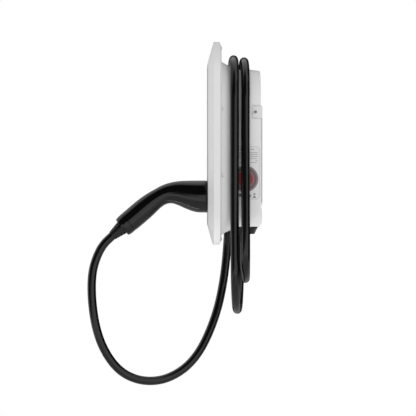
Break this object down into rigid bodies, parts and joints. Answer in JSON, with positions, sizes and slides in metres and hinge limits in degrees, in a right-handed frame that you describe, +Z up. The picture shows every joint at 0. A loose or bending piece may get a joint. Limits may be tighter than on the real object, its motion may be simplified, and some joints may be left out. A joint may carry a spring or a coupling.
{
  "type": "ev wallbox",
  "caption": "Wall charging box for electric cars: bevelled white cover, body that a black cable is wound round, and a bent handle connector parked in its front.",
  "frame": {"origin": "on the wall plane, at the back face of the wall bracket, midway across the box", "axes": "+X to the right of someone facing the box, +Y into the wall, +Z up; the front faces -Y"},
  "size_m": [0.199, 0.2944, 0.5788],
  "materials": {
    "cover_plastic": "fine satin moulding, near white",
    "housing_plastic": "fine satin moulding, near white",
    "light_lens": "clear lens, lit green",
    "seal_rubber": "matt",
    "grommet_rubber": "pale grey, matt",
    "screw_steel": "zinc plated",
    "bracket_metal": "pale grey powder coat",
    "holster_plastic": "satin black",
    "nose_plastic": "satin black",
    "contact_metal": "silver plated brass",
    "connector_plastic": "satin black",
    "grip_rubber": "soft touch black",
    "boot_rubber": "matt black",
    "gland_plastic": "satin black",
    "board_laminate": "solder mask",
    "relay_plastic": "black case",
    "sensor_plastic": "moulded case",
    "core_ferrite": "ferrite",
    "bobbin_plastic": "wound bobbin",
    "capacitor_sleeve": "printed sleeve left bare",
    "terminal_plastic": "moulded",
    "core_insulation": "wire insulation",
    "lamp_plastic": "small lamp bodies",
    "module_can": "tinned can",
    "cable_rubber": "satin black sheath"
  },
  "bodies": {
    "root": {"board_screws": "screw_steel", "cable_cores": "core_insulation", "capacitors": "capacitor_sleeve", "charging_cable": "cable_rubber", "connector_contacts": "contact_metal", "connector_end_cap": "connector_plastic", "connector_grip": "grip_rubber", "connector_handle": "connector_plastic", "connector_nose": "nose_plastic", "connector_top_cap": "connector_plastic", "control_board": "board_laminate", "cover_screws": "screw_steel", "cover_seal": "seal_rubber", "current_sensor": "sensor_plastic", "ear_screws": "screw_steel", "front_cover": "cover_plastic", "gland_body": "gland_plastic", "gland_locknut": "gland_plastic", "gland_nut": "gland_plastic", "gland_seal": "seal_rubber", "holster_cup": "holster_plastic", "main_housing": "housing_plastic", "output_terminals": "terminal_plastic", "power_board": "board_laminate", "radio_module": "module_can", "relay_1": "relay_plastic", "relay_2": "relay_plastic", "relay_3": "relay_plastic", "relay_4": "relay_plastic", "status_lamps": "lamp_plastic", "status_light_lens": "light_lens", "strain_relief_boot": "boot_rubber", "supply_grommet": "grommet_rubber", "supply_terminals": "terminal_plastic", "terminal_screws": "screw_steel", "transformer_bobbin": "bobbin_plastic", "transformer_core": "core_ferrite", "wall_bracket": "bracket_metal"}
  },
  "joints": []
}
